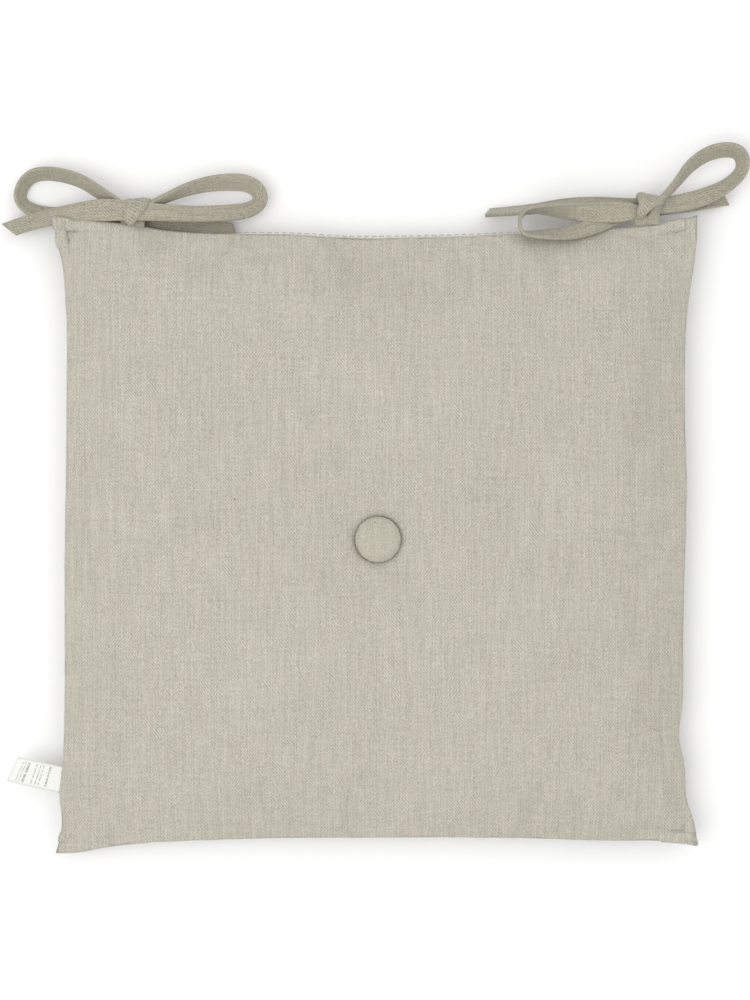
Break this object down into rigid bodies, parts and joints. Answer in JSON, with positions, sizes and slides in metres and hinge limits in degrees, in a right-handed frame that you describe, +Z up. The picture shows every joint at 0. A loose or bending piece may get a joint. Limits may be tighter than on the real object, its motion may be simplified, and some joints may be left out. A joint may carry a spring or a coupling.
{
  "type": "tied floor cushion",
  "caption": "Square knife-edge stuffed cushion, button-tufted at the centre, with two pairs of tie tapes tied in bows at the rear corners and a side seam label.",
  "frame": {"origin": "on the surface the cushion lies on, straight under the buttons and the tufting twine", "axes": "+Z up through both buttons, +Y towards the edge with the two bows, +X to the right when seen from above"},
  "size_m": [0.4545, 0.4331, 0.0425],
  "materials": {
    "cover_fabric": "matte",
    "button_fabric": "matte",
    "tie_tape": "matte",
    "label_satin": "satin",
    "sewing_thread": "matte",
    "wadding": "matte",
    "twine": "matte",
    "button_metal": "satin",
    "shank_wire": "satin"
  },
  "bodies": {
    "base": {"bottom_panel": "cover_fabric", "lower_wadding": "wadding", "core_wadding": "wadding", "perimeter_seam_thread": "sewing_thread", "closing_seam_thread": "sewing_thread", "tufting_twine": "twine"},
    "seat": {"top_panel": "cover_fabric", "upper_wadding": "wadding"},
    "upper_button": {"upper_button_cover": "button_fabric", "upper_button_shell": "button_metal", "upper_button_back": "button_metal", "upper_button_shank": "shank_wire"},
    "lower_button": {"lower_button_cover": "button_fabric", "lower_button_shell": "button_metal", "lower_button_back": "button_metal", "lower_button_shank": "shank_wire"},
    "left_bow": {"left_tie_outer": "tie_tape", "left_tie_inner": "tie_tape", "left_bow_knot": "tie_tape"},
    "right_bow": {"right_tie_outer": "tie_tape", "right_tie_inner": "tie_tape", "right_bow_knot": "tie_tape"},
    "label": {"care_label": "label_satin"}
  },
  "joints": [
    {"name": "sit_press", "type": "slide", "parent": "base", "child": "seat", "axis": [0, 0, 1], "range_m": [-0.014, 0], "stiffness_N_per_m": 3000, "deforming": ["top_panel", "core_wadding", "tufting_twine"]},
    {"name": "upper_button_turn", "type": "hinge", "parent": "seat", "child": "upper_button", "pos_m": [0, 0, 0.038], "axis": [0, 0, 1], "range_deg": [-60, 60], "stiffness_Nm_per_rad": 0.0005},
    {"name": "lower_button_turn", "type": "hinge", "parent": "base", "child": "lower_button", "pos_m": [0, 0, 0.0044], "axis": [0, 0, 1], "range_deg": [-60, 60], "stiffness_Nm_per_rad": 0.0005},
    {"name": "left_bow_lift", "type": "hinge", "parent": "base", "child": "left_bow", "pos_m": [-0.151, 0.1926, 0.018], "axis": [1, 0, 0], "range_deg": [0, 60]},
    {"name": "right_bow_lift", "type": "hinge", "parent": "base", "child": "right_bow", "pos_m": [0.1655, 0.1937, 0.018], "axis": [1, 0, 0], "range_deg": [0, 25]},
    {"name": "care_label_flap", "type": "hinge", "parent": "base", "child": "label", "pos_m": [-0.197, -0.14798, 0.018], "axis": [0.225, 0.9744, 0], "range_deg": [-35, 100], "stiffness_Nm_per_rad": 0.001}
  ]
}
